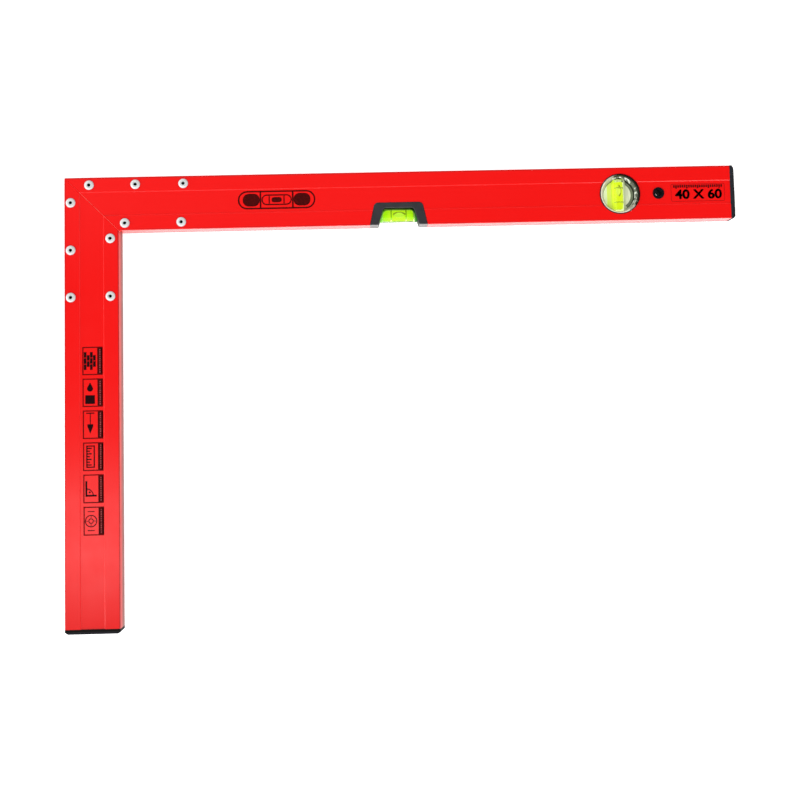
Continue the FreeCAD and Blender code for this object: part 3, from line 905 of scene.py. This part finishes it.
def hollow(piece, line):
    """Leaves only a line of this width along a flat shape's edge."""
    pick_faces(piece, lambda face: True)
    bpy.ops.mesh.inset(thickness=line, depth=0)
    bpy.ops.mesh.delete(type="FACE")
    close_edit()
    return piece


def flat_disc(x, y, radius, points=40):
    """A flat disc."""
    deselect_all()
    bpy.ops.mesh.primitive_circle_add(vertices=points, radius=radius, fill_type="NGON", location=(x, y, 0))
    piece = bpy.context.object
    settle(piece)
    return piece


def lay_print(pieces, name, ink, lift=0.0):
    """Joins flat shapes, gives them their thickness and lays them on the panel."""
    piece = join(pieces)
    pick_faces(piece, lambda face: True)
    extrude(0, 0, print_thickness)
    bpy.ops.mesh.select_all(action="SELECT")
    bpy.ops.mesh.normals_make_consistent(inside=False)
    close_edit()
    piece.location = (0, 0, panel_level + print_lift + lift)
    settle(piece)
    finish_piece(piece, name, ink, None)


def numerals(text, x, y, height, stretch, boldness):
    """Plain numbers, made a mesh before they are placed."""
    deselect_all()
    bpy.ops.object.text_add()
    piece = bpy.context.object
    piece.data.body = text
    piece.data.size = height / numeral_share
    piece.data.align_x = "CENTER"
    piece.data.align_y = "CENTER"
    piece.data.offset = boldness
    only(piece)
    bpy.ops.object.convert(target="MESH")
    piece = bpy.context.object
    pick_points(piece, lambda point: True)
    bpy.ops.mesh.remove_doubles(threshold=1e-6)
    close_edit()
    piece.scale = (stretch, 1, 1)
    piece.location = (x, y, 0)
    settle(piece)
    return piece


# Size label near the long arm's end: the numbers are struck four times, so that their strokes are bold

label_x = 566.3 * mm
label_y = -24.1 * mm
label_width = 48.7 * mm
label_height = 16.0 * mm
label_corner = 1.6 * mm
label_line = 0.4 * mm
numeral_share = 0.72
numeral_height = 8.2 * mm
numeral_stretch = 1.13
numeral_boldness = 0.15 * mm
strike = 0.36 * mm
scale_marks = 23
scale_pitch = 1.95 * mm
scale_mark = 1.35 * mm


def size_label():
    """A rounded frame with the two lengths in centimetres and a row of scale marks."""
    outline = flat_plate(label_x, label_y, label_width, label_height, label_corner)
    frame_piece = hollow(outline, label_line)
    numbers = []
    for shift_x, shift_y in ((-1, 0), (1, 0), (0, -1), (0, 1)):
        x = label_x + 0.6 * mm + shift_x * strike
        y = label_y - 1.9 * mm + shift_y * strike
        numbers.append(numerals("40 X 60", x, y, numeral_height, numeral_stretch, numeral_boldness))
    marks = []
    for step in range(scale_marks):
        tall = 3.2 * mm if step % 5 == 1 else 2.4 * mm
        x = label_x + (step - scale_marks // 2) * scale_pitch
        marks.append(flat_plate(x, label_y + 7.0 * mm - tall / 2, scale_mark, tall))
    lay_print([frame_piece], "size_label_frame", thin_ink)
    lay_print([*numbers, *marks], "size_label", red_ink)


# Vial sign on the long arm

emblem_x = 188.4 * mm
emblem_y = -23.2 * mm
emblem_width = 69.0 * mm
emblem_height = 16.5 * mm


def emblem():
    """A plain vial in a rounded frame, with a filled field at either end."""
    x, y = emblem_x, emblem_y
    parts = [
        hollow(flat_plate(x, y, emblem_width, emblem_height, 8.1 * mm), 1.3 * mm),
        hollow(flat_plate(x, y, 27.0 * mm, 9.6 * mm, 4.7 * mm), 1.1 * mm),
        flat_plate(x, y, 9.0 * mm, 4.6 * mm, 2.2 * mm),
    ]
    for side in (-1, 1):
        parts.append(flat_plate(x + side * 6.6 * mm, y, 1.0 * mm, 7.0 * mm))
        parts.append(flat_plate(x + side * 22.6 * mm, y, 15.0 * mm, 11.4 * mm, 5.2 * mm))
        parts.append(flat_plate(x + side * 14.4 * mm, y, 1.4 * mm, 14.0 * mm))
    lay_print(parts, "vial_emblem", red_ink)


# Six signs down the short arm

sign_x = 24.5 * mm
sign_first = -163.4 * mm
sign_pitch = -27.9 * mm
sign_drift = 0.14 * mm
sign_width = 17.7 * mm
sign_height = 24.8 * mm
sign_line = 0.95 * mm
sign_bar = 4.7 * mm


def brick_sign(x, y):
    """Courses of bricks."""
    parts = []
    for row in range(4):
        shift = 2.7 * mm if row % 2 else 0
        for column in range(2 if row % 2 else 3):
            along = y + (column - 1) * 5.4 * mm + shift
            parts.append(flat_plate(x + (row - 1.5) * 2.7 * mm, along, 2.3 * mm, 4.9 * mm))
    return parts


def drop_sign(x, y):
    """A falling drop above a full trough."""
    middle = y + 3.6 * mm
    drop = flat_disc(x, middle, 2.6 * mm, 24)
    for height in (1.2 * mm, 1.8 * mm, 2.2 * mm):
        pick_points(drop, lambda point: point.y > middle + height)
        bpy.ops.transform.resize(value=(0.72, 1, 1))
        bpy.ops.transform.translate(value=(0, 0.8 * mm, 0))
        close_edit()
    trough = flat_plate(x, y - 6.0 * mm, 8.4 * mm, 7.6 * mm)
    return [drop, trough]


def plumb_bob_sign(x, y):
    """A plumb bob on its line."""
    bob = flat_plate(x, y - 0.6 * mm, 5.0 * mm, 1.8 * mm)
    pick_points(bob, lambda point: point.y < y - 0.6 * mm)
    extrude(0, -6.0 * mm, 0)
    bpy.ops.transform.resize(value=(0.08, 1, 1))
    close_edit()
    line = flat_plate(x, y + 4.9 * mm, 0.7 * mm, 9.2 * mm)
    hanger = flat_plate(x, y + 10.0 * mm, 7.0 * mm, 1.0 * mm)
    return [bob, line, hanger]


def ruler_sign(x, y):
    """A rule with its marks."""
    parts = [hollow(flat_plate(x, y, 7.4 * mm, 19.4 * mm), 1.0 * mm)]
    for step in range(7):
        wide = 3.6 * mm if step % 2 == 0 else 2.2 * mm
        parts.append(flat_plate(x - 2.7 * mm + wide / 2, y + (step - 3) * 2.4 * mm, wide, 1.0 * mm))
    return parts


def corner_sign(x, y):
    """A right angle with its arc."""
    left, low = x - 3.9 * mm, y - 6.0 * mm
    arc = hollow(flat_disc(left, low, 6.4 * mm, 48), 0.8 * mm)
    pick_faces(arc, lambda face: True)
    bpy.ops.mesh.bisect(plane_co=(left + 0.8 * mm, low, 0), plane_no=(1, 0, 0), clear_inner=True)
    bpy.ops.mesh.select_all(action="SELECT")
    bpy.ops.mesh.bisect(plane_co=(left, low + 0.8 * mm, 0), plane_no=(0, 1, 0), clear_inner=True)
    close_edit()
    return [
        arc,
        flat_plate(left, low + 6.0 * mm, 1.5 * mm, 13.5 * mm),
        flat_plate(left + 4.9 * mm, low, 8.2 * mm, 1.5 * mm),
        flat_disc(left + 2.9 * mm, low + 2.9 * mm, 0.8 * mm, 16),
    ]


def target_sign(x, y):
    """A round vial with its ring and cross."""
    parts = [hollow(flat_disc(x, y, 5.3 * mm), 0.75 * mm), hollow(flat_disc(x, y, 2.3 * mm, 28), 0.7 * mm)]
    for side in (-1, 1):
        parts.append(flat_plate(x + side * 3.4 * mm, y, 1.5 * mm, 0.55 * mm))
        parts.append(flat_plate(x, y + side * 3.4 * mm, 0.55 * mm, 1.5 * mm))
        parts.append(flat_plate(x, y + side * 8.2 * mm, 6.0 * mm, 0.7 * mm))
    return parts


def sign_row():
    """Six framed signs, each with a dark strip that carries a row of pale dashes."""
    signs = (brick_sign, drop_sign, plumb_bob_sign, ruler_sign, corner_sign, target_sign)
    frames = []
    bars = []
    inked = []
    pale = []
    for number, sign in enumerate(signs):
        x = sign_x + number * sign_drift
        y = sign_first + number * sign_pitch
        bar_x = x + sign_width / 2 - sign_bar / 2
        frames.append(hollow(flat_plate(x, y, sign_width, sign_height), sign_line))
        bars.append(flat_plate(bar_x, y, sign_bar, sign_height - 2 * sign_line))
        inked.extend(sign(x - sign_bar / 2, y))
        for step in range(11):
            length = (1.5, 1.0, 1.3)[step % 3] * mm
            pale.append(flat_plate(bar_x, y + (step - 5) * 1.95 * mm, 1.0 * mm, length))
    lay_print(frames, "sign_row_frames", maroon_ink)
    lay_print(bars, "sign_row_bars", red_ink)
    lay_print(inked, "sign_row", black_ink)
    lay_print(pale, "sign_row_dashes", pale_ink, print_thickness + print_lift)


set_all_rivets()
fill_vials()
size_label()
emblem()
sign_row()


# Floor, light and camera

def lay_floor():
    """A plain pale floor at the height of the lowest rivets."""
    deselect_all()
    bpy.ops.mesh.primitive_plane_add(size=floor_size, location=(0, 0, floor_level))
    floor = bpy.context.object
    floor.name = "floor"
    floor.data.materials.append(pale_floor())


def soft_light(name, place, aim, size, power):
    """A square soft light that points at a place."""
    lamp = bpy.data.lights.new(name, "AREA")
    lamp.shape = "SQUARE"
    lamp.size = size
    lamp.energy = power
    light = bpy.data.objects.new(name, lamp)
    bpy.context.scene.collection.objects.link(light)
    light.location = place
    light.rotation_euler = (Vector(place) - Vector(aim)).to_track_quat("Z", "Y").to_euler()


def white_room(horizon, zenith, dark_to, dark_blend, bright_way):
    """White surroundings, dark overhead where the faces mirror them, and brighter one way."""
    world = bpy.data.worlds.new("studio")
    bpy.context.scene.world = world
    world.use_nodes = True
    nodes = world.node_tree.nodes
    links = world.node_tree.links
    place = nodes.new("ShaderNodeTexCoord")
    split = nodes.new("ShaderNodeSeparateXYZ")
    ramp = nodes.new("ShaderNodeValToRGB")
    links.new(place.outputs["Generated"], split.inputs["Vector"])
    links.new(split.outputs["Z"], ramp.inputs["Fac"])
    first, last = ramp.color_ramp.elements
    first.position = math.cos(math.radians(dark_to + dark_blend))
    first.color = (1, 1, 1, 1)
    last.position = math.cos(math.radians(dark_to))
    last.color = (zenith / horizon, zenith / horizon, zenith / horizon, 1)
    tilt = nodes.new("ShaderNodeVectorMath")
    tilt.operation = "DOT_PRODUCT"
    tilt.inputs[1].default_value = (*bright_way, 0)
    links.new(place.outputs["Generated"], tilt.inputs[0])
    strength = nodes.new("ShaderNodeMath")
    strength.operation = "MULTIPLY_ADD"
    strength.inputs[1].default_value = horizon
    strength.inputs[2].default_value = horizon
    links.new(tilt.outputs["Value"], strength.inputs[0])
    links.new(ramp.outputs["Color"], nodes["Background"].inputs["Color"])
    links.new(strength.outputs["Value"], nodes["Background"].inputs["Strength"])


def set_camera():
    """The camera of the photograph."""
    data = bpy.data.cameras.new("camera")
    data.lens = camera_lens
    data.sensor_width = sensor_width
    data.sensor_fit = "HORIZONTAL"
    data.shift_x, data.shift_y = camera_shift
    data.clip_start = 0.01
    camera = bpy.data.objects.new("camera", data)
    bpy.context.scene.collection.objects.link(camera)
    camera.location = camera_place
    camera.rotation_euler = [math.radians(angle) for angle in camera_turn]
    bpy.context.scene.camera = camera


lay_floor()
white_room(room_light, overhead_light, overhead_angle, overhead_blend, bright_way)
soft_light("short_arm_glow", glow_place, glow_aim, glow_size, glow_power)
set_camera()
bpy.context.scene.view_settings.view_transform = "Standard"
